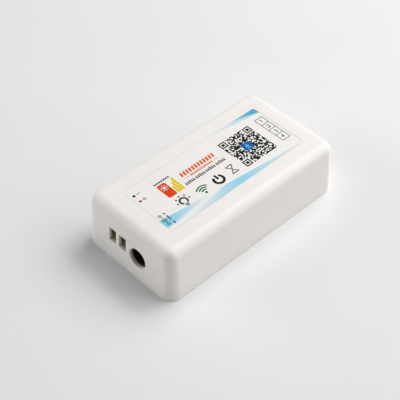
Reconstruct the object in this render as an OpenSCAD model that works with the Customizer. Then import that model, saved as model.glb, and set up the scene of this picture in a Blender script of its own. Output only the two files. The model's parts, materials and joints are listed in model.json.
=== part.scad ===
// LED strip controller: a drafted plastic case that holds a board with its face down.
// Millimetres. The origin is the middle of the bottom, +X points from the power end to
// the strip's end, and +Z points up.

/* [Case] */
// Length of the case at its bottom edge
case_length = 85; // [78:0.5:120]
// Width of the case at its bottom edge
case_width = 45; // [40:0.5:70]
// Thickness of the side walls
wall = 1.5; // [1.2:0.1:2]
// Thickness of the top wall
top_wall = 1.8; // [1.4:0.1:2.6]
// Lean of the side walls, in degrees
draft = 3; // [1:0.25:4]
// Radius of the rounded edge round the top
edge_radius = 3.8; // [2.8:0.1:4.6]
// Radius in plan of the flat top's corners, inside the rounded edge
top_corner = 0.4; // [0.2:0.1:3]
// Thickness of the end walls at the ports, where they are thinned from inside
port_wall = 1; // [0.8:0.1:1.4]

/* [Label] */
// Length of the label's recess
label_length = 65.5; // [50:0.5:68]
// Width of the label's recess
label_width = 25.5; // [18:0.5:32]
// Radius of the recess's corners
label_corner = 1.2; // [0.5:0.1:4]
// Distance of the recess's middle from the case's middle, toward the strip's end
label_shift = 0.6; // [-1:0.1:1]
// Distance of the recess's middle from the case's middle, toward the wire windows' side
label_side_shift = 0.2; // [-1:0.1:1]
// Depth of the recess
label_depth = 0.3; // [0.3:0.05:0.6]
// Thickness of the printed film
film_thickness = 0.2; // [0.15:0.05:0.25]
// Gap round the film
film_gap = 0.1; // [0.05:0.05:0.4]

/* [Base cover] */
// Thickness of the cover's plate
base_thickness = 2; // [1.6:0.1:3]
// Thickness of the case's rim round the plate
rim_wall = 0.8; // [0.6:0.1:1]
// Gap between the plate and the rim
cover_gap = 0.15; // [0.1:0.05:0.3]
// Width of the bridge between two screwdriver holes
access_web = 0.9; // [0.7:0.1:1.4]
// Radius of the posts that carry the board
post_radius = 2.2; // [1.9:0.1:2.6]
// Distance from the board's edges to the middle of each post
post_inset = 3; // [2.4:0.1:3.4]
// Radius of the case's pegs, which pass through the board into the posts
peg_radius = 1.1; // [0.8:0.05:1.3]
// Depth to which each peg enters its post
peg_reach = 2.5; // [1.5:0.1:5]
// Height of the snap hooks above the plate
hook_height = 7; // [5:0.5:9]
// Width of each snap hook
hook_width = 6; // [4:0.5:9]
// Thickness of each snap hook's arm
hook_thickness = 1.2; // [0.9:0.1:1.6]
// Distance by which each hook's catch stands out of its arm
hook_catch = 0.6; // [0.4:0.05:0.75]

/* [Circuit board] */
// Thickness of the board
board_thickness = 1.6; // [1:0.2:2]
// Gap between the board's edge and the case
board_gap = 0.4; // [0.2:0.1:1]
// Height left between the board and the top wall for the solder
solder_space = 2.5; // [2:0.1:4]

/* [Wire terminals] */
// Distance between the middles of neighbouring wire ways
pitch = 5.08; // [4.4:0.02:6]
// Gap between the terminals and the base cover
terminal_clearance = 0.6; // [0.3:0.1:2]
// Thickness of the housing's floor, next to the board
terminal_floor = 1.4; // [0.8:0.1:2]
// Thickness of the walls between neighbouring cavities
partition = 1; // [0.7:0.1:1.3]
// Width of the housing between two wire mouths
mouth_web = 1.78; // [1.6:0.02:2.2]
// Height of each wire mouth
mouth_height = 5.7; // [5:0.1:6.5]
// Depth of each mouth's sloping sides
funnel_depth = 1.4; // [0.8:0.1:1.8]
// Thickness of the housing's front wall
front_wall = 3; // [2.8:0.1:4]
// Thickness of the housing's rear wall
rear_wall = 2.6; // [2:0.1:3.5]
// Thickness of the lip that holds the screw heads in
lip = 0.8; // [0.6:0.1:1.2]
// Height of the open gap for a wire
wire_gap = 3.5; // [2.8:0.1:4.2]
// Thickness of the fixed contact bars
bar_thickness = 0.8; // [0.6:0.05:1]

/* [Clamps and screws] */
// Thickness of each clamp's floor
clamp_floor = 0.6; // [0.4:0.05:1]
// Thickness of each clamp's sides
clamp_side = 0.4; // [0.3:0.02:0.46]
// Thickness of each clamp's threaded top
clamp_top = 1.3; // [0.9:0.1:1.8]
// How much longer than wide each clamp is
clamp_extra = 0.3; // [0.2:0.1:1]
// Metal left beside the thread in the clamp's top
thread_web = 0.45; // [0.4:0.02:0.6]
// Height of each screw's head
head_height = 1.6; // [1.2:0.1:2.2]
// Width of the slots in each screw's head
slot_width = 0.7; // [0.5:0.1:0.9]
// Depth of those slots
slot_depth = 0.8; // [0.4:0.1:1]

/* [Power socket] */
// Width of the socket's body
jack_width = 9; // [8.6:0.1:10]
// Length of the socket's body
jack_length = 14.2; // [13:0.1:17]
// Height of the socket's axis above the board
jack_axis = 6.5; // [5.6:0.1:7.4]
// Bore for the plug
jack_bore = 6.3; // [6:0.1:6.6]
// Depth of that bore
jack_depth = 10.2; // [9.4:0.1:10.8]
// Diameter of the centre pin
pin_diameter = 2; // [1.8:0.1:2.5]
// Distance from the socket's face to the centre pin's tip
pin_recess = 1.9; // [1:0.1:2.4]
// Length of the wide collar at the socket's face
collar_length = 3.4; // [2.4:0.1:4]
// Diameter of the round hole in the case
jack_port = 8; // [7.2:0.1:8.8]
// Gap between the socket and the case's middle plane
jack_offset = 0.8; // [0.5:0.1:1.5]

/* [Board components] */
// Length of the wireless module, across the board
module_length = 18; // [16:0.5:22]
// Width of the wireless module, along the board
module_width = 15; // [12:0.5:18]
// Diameter of the input capacitor's can
can_diameter = 8; // [6.3:0.1:9.5]
// Height of the can above its plastic base
can_height = 8.8; // [7:0.1:10]
// Side of the power inductor
inductor_side = 7.3; // [6:0.1:8.5]
// Height of the power inductor
inductor_height = 4; // [3:0.1:5]
// Width of each transistor's body
transistor_width = 6.5; // [5.5:0.1:7.4]
// Length of each transistor's body
transistor_length = 6.1; // [5:0.1:7]
// Height of each transistor's body
transistor_height = 2.3; // [1.8:0.1:2.8]
// Space left between neighbouring components
part_gap = 1.5; // [1:0.1:1.9]

/* [Hidden] */
$fn = 64;

// Overrun of every cut past the face that it opens
overrun = 0.5;
// Gap round whatever slides or turns
run_gap = 0.1;
// Gap round the thread
thread_gap = 0.05;
// Gap between a terminal or the socket and the case
port_gap = 0.15;
// How much wider and higher than its mouth each window in the case is, on each side
window_margin = 0.1;
// Play between the contact bar and the clamp's top
bar_play = 0.3;
// Count of the wire ways at each end
input_way_count = 2;
output_way_count = 4;

// Stack of a terminal, measured from the board's face
clamp_bottom = terminal_floor + run_gap;
wire_low = clamp_bottom + clamp_floor;
bar_low = wire_low + wire_gap;
bar_high = bar_low + bar_thickness;
clamp_ceiling = bar_high + bar_play;
clamp_high = clamp_ceiling + clamp_top;
travel = wire_gap - run_gap;
head_low = clamp_high + travel + run_gap;
head_high = head_low + head_height;
terminal_height = head_high + run_gap + lip;

// Stack of the whole case
board_face = base_thickness + terminal_clearance + terminal_height;
board_top = board_face + board_thickness;
ceiling = board_top + solder_space;
case_height = ceiling + top_wall;

// Plan sizes of the case and the board. The corner is rounded up to a hundredth, so that
// the turned corners and the straight sides meet on one plane
function hundredths(v) = ceil(v * 100) / 100;
lean = tan(draft);
corner_radius = hundredths(top_corner
  + (edge_radius + (case_height - edge_radius) * sin(draft)) / cos(draft));
inner_corner = corner_radius - wall;
inner_chamfer = (edge_radius - wall) / 2;
board_inset = wall + board_top * lean + board_gap;
board_length = case_length - 2 * board_inset;
board_width = case_width - 2 * board_inset;
board_corner = corner_radius - board_inset;
post_x = board_length / 2 - post_inset;
post_y = board_width / 2 - post_inset;
peg_gap = 0.1;
boss_radius = post_radius + peg_gap;
plate_length = case_length - 2 * (rim_wall + cover_gap);
plate_width = case_width - 2 * (rim_wall + cover_gap);
plate_corner = corner_radius - rim_wall - cover_gap;

// Widths that follow the pitch
cavity_width = pitch - partition;
clamp_width = cavity_width - 2 * run_gap;
clamp_length = clamp_width + clamp_extra;
cavity_length = clamp_length + 2 * run_gap;
head_diameter = cavity_width - 2 * run_gap;
shank_radius = clamp_width / 2 - thread_web - thread_gap;
bar_width = clamp_width - 2 * (clamp_side + run_gap);
mouth_width = pitch - mouth_web;
access_diameter = pitch - access_web;
lip_hold = 0.25;
entry_inset = 0.15;
end_margin = 0.25;
dovetail_reach = 0.5;
clamp_x = front_wall + cavity_length / 2;
terminal_depth = front_wall + cavity_length + rear_wall;

// Contact bars and every leg that passes through the board
floor_groove_count = 3;
bar_notch = 0.7;
leg_width = 1;
leg_gap = 0.1;
leg_tail = 1.4;
leg_reach = board_thickness + leg_tail;
bar_leg_x = front_wall + cavity_length + run_gap + bar_thickness / 2;
leaf = 0.3;
leg_hole = norm([bar_thickness, leg_width]) / 2 + leg_gap;
solder_rim = 0.5;
solder_height = 0.9;

// Ports: window heights in the case's own frame, and the inner face of the thinned walls
window_top = board_face - wire_low + window_margin;
window_low = window_top - mouth_height - 2 * window_margin;
window_width = mouth_width + 2 * window_margin;
port_face = case_length / 2 - window_top * lean - port_wall;
port_x = port_face - port_gap;
jack_y = -(jack_width / 2 + jack_offset);
jack_height = jack_axis + jack_width / 2;

// Socket's metal pieces
collar_corner = 1.5;
tail_side = 0.5;
tail_radius = jack_width / 2 - tail_side;
pin_leg_x = jack_length - 1.2 * bar_thickness;
pin_shoulder = 0.2;
pin_root_radius = pin_diameter / 2 + pin_shoulder;
sleeve_leg_x = 7.8;
sleeve_reach = 3.2;
sleeve_bump = 0.5;
leaf_width = 2.6;
switch_leg_x = 9.4;
switch_reach = 3.2;
switch_height = 2.4;

// Snap hooks
hook_share = 0.22;
hook_gap = 0.15;
catch_height = 2.4;
catch_flat = 0.4;
hook_top = base_thickness + hook_height;
hook_y = case_width / 2 - wall - hook_top * lean - hook_gap;

// Components
module_board = 0.8;
shield_height = 2.2;
shield_margin = 1.4;
antenna_length = 5;
castellation_radius = 0.4;
castellation_spacing = 1.5;
castellation_count = 7;
board_margin = 1;
can_base = 1.5;
can_groove = 0.3;
base_side = can_diameter + can_groove;
chip_length = 1.6;
chip_width = 0.8;
chip_height = 0.5;
chip_cap = 0.3;
chip_cap_step = 0.05;
chip_spacing = 2.6;
chip_count = 4;
lead_count = 4;
lead_thickness = 0.2;
lead_width = 0.42;
lead_reach = 1.1;
lead_spacing = 1.27;
standoff = 0.15;
regulator_width = 3.9;
regulator_length = 4.9;
regulator_height = 1.6;
diode_width = 3.6;
diode_length = 4.4;
diode_height = 2.3;
diode_lead_width = 2.2;
tab_reach = 1;
tab_width = 5.2;
tab_thickness = 0.5;
gate_lead_reach = 2.6;
gate_lead_width = 0.8;
gate_lead_y = 2.28;
gate_lead_height = 1.3;
transistor_count = 3;
transistor_gap = 1.3;
transistor_spacing = transistor_width + transistor_gap;
module_y = board_width / 2 - module_length / 2 - board_margin;
first_column = -port_x + jack_length + part_gap + base_side / 2;
last_column = port_x - terminal_depth - part_gap - gate_lead_reach - transistor_length / 2;
chip_column = module_width / 2 + part_gap + chip_length / 2;
can_y = -board_width / 2 + board_margin + post_inset + base_side / 2;
inductor_y = can_y + base_side / 2 + part_gap + inductor_side / 2;
regulator_y = inductor_y + inductor_side / 2 + part_gap + regulator_length / 2;
diode_x = -port_x + terminal_depth + part_gap + diode_width / 2;

// Places of the ways, in the case's own frame
function input_y(way) = (way + 0.5) * pitch;
function output_y(way) = (way - (output_way_count - 1) / 2) * pitch;
input_ys = [for (way = [0 : input_way_count - 1]) input_y(way)];
output_ys = [for (way = [0 : output_way_count - 1]) output_y(way)];

// Whole steps spread evenly about zero
function centred_steps(count) = [for (i = [0 : count - 1]) i - (count - 1) / 2];

// Sides of a terminal's housing whose ways are at the given places
function housing_low(ys) = min(ys) - pitch / 2 - end_margin;
function housing_high(ys) = max(ys) + pitch / 2 + end_margin;

// Middle and size in plan of each leg: contact bars, centre pin, sleeve and switch
flat_leg = [bar_thickness, leg_width];
legs = concat(
  [for (y = input_ys) [[-port_x + bar_leg_x, y], flat_leg]],
  [for (y = output_ys) [[port_x - bar_leg_x, y], flat_leg]],
  [
    [[-port_x + pin_leg_x, jack_y], flat_leg],
    [[-port_x + sleeve_leg_x, jack_y], [leaf, leg_width]],
    [[-port_x + switch_leg_x, jack_y - jack_width / 2], [leg_width, leaf]],
  ]
);

// Rounded rectangle in plan, centred
module rounded_rect(length, width, radius) {
  square([length - 2 * radius, width], center = true);
  square([length, width - 2 * radius], center = true);
  for (x = [-1, 1], y = [-1, 1])
    translate([x * (length / 2 - radius), y * (width / 2 - radius)]) circle(radius);
}

// Block with one corner on the axis, centred across Y
module centred_block(low_x, high_x, width, low_z, high_z) {
  translate([low_x, -width / 2, low_z]) cube([high_x - low_x, width, high_z - low_z]);
}

// Half of an upright section: a leaning wall that ends in a round edge
module rounded_half(reach, height, edge) {
  centre_z = height - edge;
  centre_x = reach - (edge + centre_z * sin(draft)) / cos(draft);
  touch = [centre_x + edge * cos(draft), centre_z + edge * sin(draft)];
  polygon([[0, 0], [reach, 0], touch, [centre_x, centre_z], [centre_x, height], [0, height]]);
  intersection() {
    translate([centre_x, centre_z]) circle(edge);
    square([reach, height]);
  }
}

// The same section with a bevelled edge
module bevelled_half(reach, height, edge) {
  low = height - edge;
  polygon([
    [0, 0], [reach, 0], [reach - low * lean, low],
    [reach - height * lean - edge, height], [0, height],
  ]);
}

module half_section(reach, height, edge, rounded) {
  if (rounded) rounded_half(reach, height, edge);
  else bevelled_half(reach, height, edge);
}

// Box with leaning walls: four turned corners and four straight sides round a core
module drafted_box(length, width, height, radius, edge, rounded) {
  core_x = length / 2 - radius;
  core_y = width / 2 - radius;
  translate([-core_x, -core_y, 0]) cube([2 * core_x, 2 * core_y, height]);
  for (x = [0, 1]) mirror([x, 0, 0]) {
    translate([core_x, 0, 0]) rotate([90, 0, 0])
      linear_extrude(height = 2 * core_y, center = true)
        half_section(radius, height, edge, rounded);
    for (y = [0, 1]) mirror([0, y, 0]) translate([core_x, core_y, 0])
      rotate_extrude(angle = 90) half_section(radius, height, edge, rounded);
  }
  for (y = [0, 1]) mirror([0, y, 0]) translate([0, core_y, 0])
    rotate([90, 0, 90]) linear_extrude(height = 2 * core_x, center = true)
      half_section(radius, height, edge, rounded);
}

// Outline of a bent strip of even thickness along a list of points
function unit(v) = v / norm(v);
function mitre(points, i) =
  let (
    last = len(points) - 1,
    before = unit(points[max(i, 1)] - points[max(i, 1) - 1]),
    after = unit(points[min(i + 1, last)] - points[min(i + 1, last) - 1]),
    sum = before + after
  ) [-sum.y, sum.x] / (1 + before * after);
function ribbon(points, thickness) = concat(
  [for (i = [0 : len(points) - 1]) points[i] + mitre(points, i) * thickness / 2],
  [for (i = [len(points) - 1 : -1 : 0]) points[i] - mitre(points, i) * thickness / 2]
);

// Bent strip that stands in the XZ plane, centred across Y
module strip(points, thickness, breadth) {
  translate([0, breadth / 2, 0]) rotate([90, 0, 0])
    linear_extrude(height = breadth) polygon(ribbon(points, thickness));
}

// Frames: below the board's face, with the height measured away from the board
module hang_at(x, y) {
  translate([x, y, board_face]) mirror([0, 0, 1]) children();
}

module input_frame() {
  hang_at(-port_x, 0) children();
}

module output_frame() {
  hang_at(port_x, 0) mirror([1, 0, 0]) children();
}

module jack_frame() {
  hang_at(-port_x, jack_y) children();
}

// Cuts in both end walls, each drawn for the power end
module wire_window(y) {
  translate([-case_length / 2 - overrun, y - window_width / 2, window_low])
    cube([case_length / 2 - port_face + 2 * overrun, window_width, window_top - window_low]);
}

module port_pocket(low_y, high_y) {
  translate([-port_face, low_y - port_gap, base_thickness])
    cube([terminal_depth, high_y - low_y + 2 * port_gap, board_face + port_gap - base_thickness]);
}

// Catch of a snap hook, with room round it where the case is cut for it
module hook_catch_shape(room) {
  low = hook_top - catch_height;
  rotate([90, 0, 90]) linear_extrude(height = hook_width + 2 * room, center = true)
    polygon([
      [hook_y - hook_thickness / 2, low - room],
      [hook_y + hook_catch + room, low - room],
      [hook_y + hook_catch + room, low + catch_flat + room],
      [hook_y, hook_top + room],
      [hook_y - hook_thickness / 2, hook_top + room],
    ]);
}

module at_hooks() {
  for (x = [-1, 1], y = [0, 1])
    mirror([0, y, 0]) translate([x * hook_share * case_length, 0, 0]) children();
}

module at_posts() {
  for (x = [-1, 1], y = [-1, 1]) translate([x * post_x, y * post_y, 0]) children();
}

// Puts a shape on the floor of the label's recess
module at_label() {
  translate([label_shift, label_side_shift, case_height - label_depth]) children();
}

// The white case: hollow, open below, with its ports, label recess, bosses and pegs
module top_shell() {
  color("white") {
    difference() {
      drafted_box(case_length, case_width, case_height, corner_radius, edge_radius, true);
      drafted_box(case_length - 2 * wall, case_width - 2 * wall, ceiling,
        inner_corner, inner_chamfer, false);
      translate([0, 0, -overrun]) linear_extrude(height = base_thickness + overrun)
        rounded_rect(case_length - 2 * rim_wall, case_width - 2 * rim_wall,
          corner_radius - rim_wall);
      at_label() linear_extrude(height = label_depth + overrun)
        rounded_rect(label_length, label_width, label_corner);
      for (y = input_ys) wire_window(y);
      for (y = output_ys) mirror([1, 0, 0]) wire_window(y);
      translate([-case_length / 2 - overrun, jack_y, board_face - jack_axis])
        rotate([0, 90, 0])
          cylinder(h = case_length / 2 - port_face + 2 * overrun, d = jack_port);
      port_pocket(jack_y - jack_width / 2, housing_high(input_ys));
      mirror([1, 0, 0]) port_pocket(housing_low(output_ys), housing_high(output_ys));
      at_hooks() hook_catch_shape(hook_gap);
    }
    at_posts() {
      translate([0, 0, board_top])
        cylinder(h = solder_space + top_wall / 2, r = boss_radius);
      translate([0, 0, board_face - peg_reach])
        cylinder(h = peg_reach + board_thickness + solder_space, r = peg_radius);
    }
  }
}

// The printed film
module label_sheet() {
  color("whitesmoke")
    at_label() linear_extrude(height = film_thickness)
      rounded_rect(label_length - 2 * film_gap, label_width - 2 * film_gap,
        label_corner - film_gap);
}

// One snap hook: an arm with its catch
module snap_hook() {
  translate([-hook_width / 2, hook_y - hook_thickness, base_thickness / 2])
    cube([hook_width, hook_thickness, hook_top - base_thickness / 2]);
  hook_catch_shape(0);
}

// Plate with posts for the board, snap hooks and a screwdriver hole under each screw
module base_cover() {
  color("white") {
    difference() {
      linear_extrude(height = base_thickness)
        rounded_rect(plate_length, plate_width, plate_corner);
      for (y = input_ys) access_hole(-port_x + clamp_x, y);
      for (y = output_ys) access_hole(port_x - clamp_x, y);
    }
    at_hooks() snap_hook();
    at_posts() difference() {
      translate([0, 0, base_thickness / 2])
        cylinder(h = board_face - base_thickness / 2, r = post_radius);
      translate([0, 0, board_face - peg_reach - overrun])
        cylinder(h = peg_reach + 2 * overrun, r = peg_radius + peg_gap);
    }
  }
}

// Screwdriver hole, bevelled where the driver enters
module access_hole(x, y) {
  bevel = access_web / 4;
  translate([x, y, -overrun]) {
    cylinder(h = base_thickness + 2 * overrun, d = access_diameter);
    cylinder(h = overrun + bevel, d1 = access_diameter + 2 * (overrun + bevel),
      d2 = access_diameter);
  }
}

// The board, drilled for the pegs and for every leg
module circuit_board() {
  color("darkgreen") difference() {
    translate([0, 0, board_face]) linear_extrude(height = board_thickness)
      rounded_rect(board_length, board_width, board_corner);
    at_posts() translate([0, 0, board_face - overrun])
      cylinder(h = board_thickness + 2 * overrun, r = peg_radius + peg_gap);
    for (leg = legs) translate([leg[0].x, leg[0].y, board_face - overrun])
      cylinder(h = board_thickness + 2 * overrun, r = leg_hole);
  }
}

// Cuts for one way of a terminal: cavity, screw hole, wire entry and bar slot
module way_cuts() {
  cavity_end = front_wall + cavity_length;
  entry_width = mouth_width - 2 * entry_inset;
  slot = bar_width + 2 * run_gap;
  screw_hole = head_diameter - 2 * lip_hold;
  centred_block(front_wall, cavity_end, cavity_width, terminal_floor, head_high + run_gap);
  translate([clamp_x, 0, head_high]) cylinder(h = lip + overrun, d = screw_hole);
  translate([clamp_x, 0, terminal_height - lip / 2])
    cylinder(h = lip / 2 + overrun, d1 = screw_hole, d2 = screw_hole + lip + 2 * overrun);
  centred_block(-overrun, front_wall + overrun, entry_width, wire_low, bar_low);
  centred_block(front_wall - bar_notch - run_gap, front_wall + overrun, slot,
    bar_low - run_gap, bar_high + run_gap);
  centred_block(cavity_end - overrun, cavity_end + bar_thickness + 2 * run_gap, slot,
    -overrun, bar_high + run_gap);
  intersection() {
    translate([0, mouth_width / 2, 0]) rotate([90, 0, 0]) linear_extrude(height = mouth_width)
      polygon([
        [-overrun, wire_low], [funnel_depth, wire_low], [funnel_depth, bar_low],
        [0, wire_low + mouth_height], [-overrun, wire_low + mouth_height],
      ]);
    translate([0, 0, wire_low]) linear_extrude(height = mouth_height)
      polygon([
        [-overrun, -mouth_width / 2], [0, -mouth_width / 2],
        [funnel_depth, -entry_width / 2], [funnel_depth, entry_width / 2],
        [0, mouth_width / 2], [-overrun, mouth_width / 2],
      ]);
  }
}

// Dovetail in plan that joins one terminal's rear wall to the next, with room round it
module dovetail(low_z, high_z, room) {
  root = rear_wall / 6 + room;
  tip = rear_wall / 4 + room;
  translate([terminal_depth - rear_wall / 2, 0, low_z]) linear_extrude(height = high_z - low_z)
    polygon([[-root, -overrun], [root, -overrun], [root, 0], [tip, dovetail_reach + room],
      [-tip, dovetail_reach + room], [-root, 0]]);
}

// Insulating block of a terminal, its ways centred on the given places, with a bevelled
// rear edge, a dovetail on one side and the groove for it on the other
module terminal_housing(places) {
  low_y = housing_low(places);
  high_y = housing_high(places);
  shoulder = terminal_height - lip;
  difference() {
    union() {
      translate([0, high_y, 0]) rotate([90, 0, 0]) linear_extrude(height = high_y - low_y)
        polygon([[0, 0], [terminal_depth, 0], [terminal_depth, shoulder],
          [terminal_depth - lip, terminal_height], [0, terminal_height]]);
      translate([0, high_y, 0]) dovetail(0, shoulder - lip, 0);
    }
    for (y = places) translate([0, y, 0]) way_cuts();
    translate([0, low_y, 0]) dovetail(-overrun, shoulder, run_gap);
  }
}

// Fixed bar with its leg through the board
module contact_bar() {
  tip_x = front_wall - bar_notch;
  leg_x = bar_leg_x - bar_thickness / 2;
  centred_block(tip_x, leg_x + bar_thickness, bar_width, bar_low, bar_high);
  centred_block(leg_x, leg_x + bar_thickness, bar_width, leg_gap, bar_high);
  centred_block(leg_x, leg_x + bar_thickness, leg_width, -leg_reach, bar_high);
}

// Rising cage: the screw's thread lifts it, and its grooved floor presses the wire on the bar
module clamp() {
  low_x = clamp_x - clamp_length / 2;
  inside = clamp_width - 2 * clamp_side;
  groove = clamp_floor / 3;
  difference() {
    translate([low_x, 0, 0]) along_x(clamp_length)
      translate([(clamp_bottom + clamp_high) / 2, 0])
        rounded_rect(clamp_high - clamp_bottom, clamp_width, clamp_side);
    centred_block(low_x - overrun, low_x + clamp_length + overrun, inside,
      wire_low, clamp_ceiling);
    translate([clamp_x, 0, clamp_ceiling - overrun])
      cylinder(h = clamp_top + 2 * overrun, r = shank_radius + thread_gap);
    for (i = centred_steps(floor_groove_count))
      translate([clamp_x + i * clamp_length / (floor_groove_count + 1), 0, wire_low])
        rotate([0, 45, 0]) cube([groove, inside - 2 * run_gap, groove], center = true);
  }
}

// Clamp screw: its tip stands on the bar and its head is held under the lip
module clamp_screw() {
  tip = bar_high + run_gap;
  tip_bevel = shank_radius / 4;
  head_radius = head_diameter / 2;
  head_bevel = head_height / 8;
  translate([clamp_x, 0, 0]) difference() {
    rotate_extrude() polygon([
      [0, tip], [shank_radius - tip_bevel, tip], [shank_radius, tip + tip_bevel],
      [shank_radius, head_low], [head_radius, head_low], [head_radius, head_high - head_bevel],
      [head_radius - head_bevel, head_high], [0, head_high],
    ]);
    for (turn = [0, 90]) rotate([0, 0, turn])
      translate([-pitch / 2, -slot_width / 2, head_high - slot_depth])
        cube([pitch, slot_width, slot_depth + overrun]);
  }
}

module input_terminal_housing() {
  color("seagreen") input_frame()
    terminal_housing(input_ys);
}

module input_contact_bars() {
  color("goldenrod") input_frame()
    for (y = input_ys) translate([0, y, 0]) contact_bar();
}

module input_screw(way) {
  color("silver") input_frame() translate([0, input_y(way), 0]) clamp_screw();
}

module input_clamp(way) {
  color("gold") input_frame() translate([0, input_y(way), 0]) clamp();
}

module output_terminal_housing() {
  color("seagreen") output_frame()
    terminal_housing(output_ys);
}

module output_contact_bars() {
  color("goldenrod") output_frame()
    for (y = output_ys) translate([0, y, 0]) contact_bar();
}

module output_screw(way) {
  color("silver") output_frame() translate([0, output_y(way), 0]) clamp_screw();
}

module output_clamp(way) {
  color("gold") output_frame() translate([0, output_y(way), 0]) clamp();
}

// Arch in end view: square up to the axis, round above it
module arch(radius) {
  translate([0, -radius]) square([jack_axis, 2 * radius]);
  translate([jack_axis, 0]) circle(radius);
}

// Collar in end view: a rectangle with two rounded corners away from the board
module collar() {
  translate([0, -jack_width / 2]) square([jack_height - collar_corner, jack_width]);
  translate([0, collar_corner - jack_width / 2])
    square([jack_height, jack_width - 2 * collar_corner]);
  for (y = [-1, 1])
    translate([jack_height - collar_corner, y * (jack_width / 2 - collar_corner)])
      circle(collar_corner);
}

// Turns an end view so that it runs along X with its first axis upward
module along_x(length) {
  mirror([1, 0, 0]) rotate([0, -90, 0]) linear_extrude(height = length) children();
}

// Moulded body of the socket
module dc_jack_housing() {
  color("dimgray") jack_frame() difference() {
    union() {
      along_x(collar_length) collar();
      along_x(jack_length) arch(tail_radius);
    }
    translate([-overrun, 0, jack_axis]) rotate([0, 90, 0])
      cylinder(h = jack_depth + overrun, d = jack_bore);
    translate([0, 0, jack_axis]) rotate([0, 90, 0])
      cylinder(h = pin_leg_x, r = pin_root_radius + run_gap);
    centred_block(pin_leg_x - bar_thickness / 2 - run_gap,
      pin_leg_x + bar_thickness / 2 + run_gap, leaf_width + 2 * run_gap,
      -overrun, jack_axis + pin_diameter);
    centred_block(sleeve_leg_x - sleeve_reach - 2 * leaf, sleeve_leg_x + 2 * leaf,
      leaf_width + 2 * run_gap, -overrun, jack_axis - pin_diameter);
    translate([switch_leg_x - switch_reach - 2 * leaf, -jack_width / 2 - overrun,
      jack_axis - switch_height / 2 - run_gap])
      cube([switch_reach + 2 * leaf + leg_width / 2 + run_gap, jack_width / 2 - pin_diameter,
        switch_height + 2 * run_gap]);
  }
}

// Centre pin with a round tip, a thicker root inside the body and a flat leg at its rear
module dc_jack_centre_pin() {
  tip_x = pin_recess + pin_diameter / 2;
  color("silver") jack_frame() {
    translate([0, 0, jack_axis]) {
      translate([tip_x, 0, 0]) sphere(d = pin_diameter);
      translate([tip_x, 0, 0]) rotate([0, 90, 0])
        cylinder(h = pin_leg_x - tip_x, d = pin_diameter);
      translate([jack_depth, 0, 0]) rotate([0, 90, 0])
        cylinder(h = pin_leg_x - jack_depth, r = pin_root_radius);
    }
    centred_block(pin_leg_x - bar_thickness / 2, pin_leg_x + bar_thickness / 2,
      leaf_width, leg_gap, jack_axis + pin_diameter - run_gap);
    centred_block(pin_leg_x - bar_thickness / 2, pin_leg_x + bar_thickness / 2,
      leg_width, -leg_reach, jack_axis);
  }
}

// Leaf that presses on the plug's sleeve from the board's side
module dc_jack_sleeve_spring() {
  bore_low = jack_axis - jack_bore / 2;
  rest = bore_low - 2 * leaf;
  color("goldenrod") jack_frame() {
    strip([
      [sleeve_leg_x, leg_gap], [sleeve_leg_x, rest],
      [sleeve_leg_x - sleeve_reach / 2, bore_low + sleeve_bump],
      [sleeve_leg_x - sleeve_reach, rest],
    ], leaf, leaf_width);
    centred_block(sleeve_leg_x - leaf / 2, sleeve_leg_x + leaf / 2, leg_width,
      -leg_reach, rest);
  }
}

// Contact at the socket's side, opened by an inserted plug
module dc_jack_switch_contact() {
  side_y = -jack_width / 2;
  bore_y = -jack_bore / 2;
  color("goldenrod") jack_frame() {
    translate([0, 0, jack_axis - switch_height / 2]) linear_extrude(height = switch_height)
      polygon(ribbon([
        [switch_leg_x, side_y], [switch_leg_x - leg_width / 2, side_y],
        [switch_leg_x - switch_reach / 2, bore_y + sleeve_bump],
        [switch_leg_x - switch_reach, bore_y - leaf],
      ], leaf));
    translate([switch_leg_x - leg_width / 2, side_y - leaf / 2, -leg_reach])
      cube([leg_width, leaf, leg_reach + jack_axis + switch_height / 2]);
  }
}

// Small board of the wireless module, with half holes along its long edges
module wireless_module_board() {
  color("navy") hang_at(0, module_y) difference() {
    translate([-module_width / 2, -module_length / 2, 0])
      cube([module_width, module_length, module_board]);
    for (x = [-1, 1], i = centred_steps(castellation_count))
      translate([x * module_width / 2, i * castellation_spacing - antenna_length / 2, -overrun])
        cylinder(h = module_board + 2 * overrun, r = castellation_radius);
  }
}

// Metal can over the module's chips, clear of the aerial
module wireless_module_shield() {
  length = module_length - antenna_length - 2 * shield_margin;
  color("silver") hang_at(0, module_y - antenna_length / 2)
    translate([0, 0, module_board]) linear_extrude(height = shield_height)
      rounded_rect(module_width - 2 * shield_margin, length, shield_margin / 2);
}

module at_transistors() {
  for (i = centred_steps(transistor_count))
    hang_at(last_column, i * transistor_spacing) children();
}

// Moulded bodies of the three switching transistors, with a bevelled top
module transistor_bodies() {
  side = transistor_length / 2;
  bevel = transistor_height / 5;
  color("black") at_transistors()
    translate([0, transistor_width / 2, 0]) rotate([90, 0, 0])
      linear_extrude(height = transistor_width) polygon([
        [-side, tab_thickness], [side, tab_thickness], [side, transistor_height - bevel],
        [side - bevel, transistor_height], [bevel - side, transistor_height],
        [-side, transistor_height - bevel],
      ]);
}

// Bent lead that leaves a body's side and lies flat on the board
module bent_lead(side, height, reach, thickness, breadth) {
  strip([
    [side, height], [side + reach / 3, height], [side + reach / 2, thickness / 2],
    [side + reach, thickness / 2],
  ], thickness, breadth);
}

// Their metal: a plate under each body that shows as a tab, and two bent leads
module transistor_tabs() {
  side = transistor_length / 2;
  color("silver") at_transistors() {
    centred_block(-side - tab_reach, side - tab_reach, tab_width, 0, tab_thickness);
    for (y = [-1, 1]) translate([0, y * gate_lead_y, 0])
      bent_lead(side, gate_lead_height, gate_lead_reach, tab_thickness, gate_lead_width);
  }
}

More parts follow.
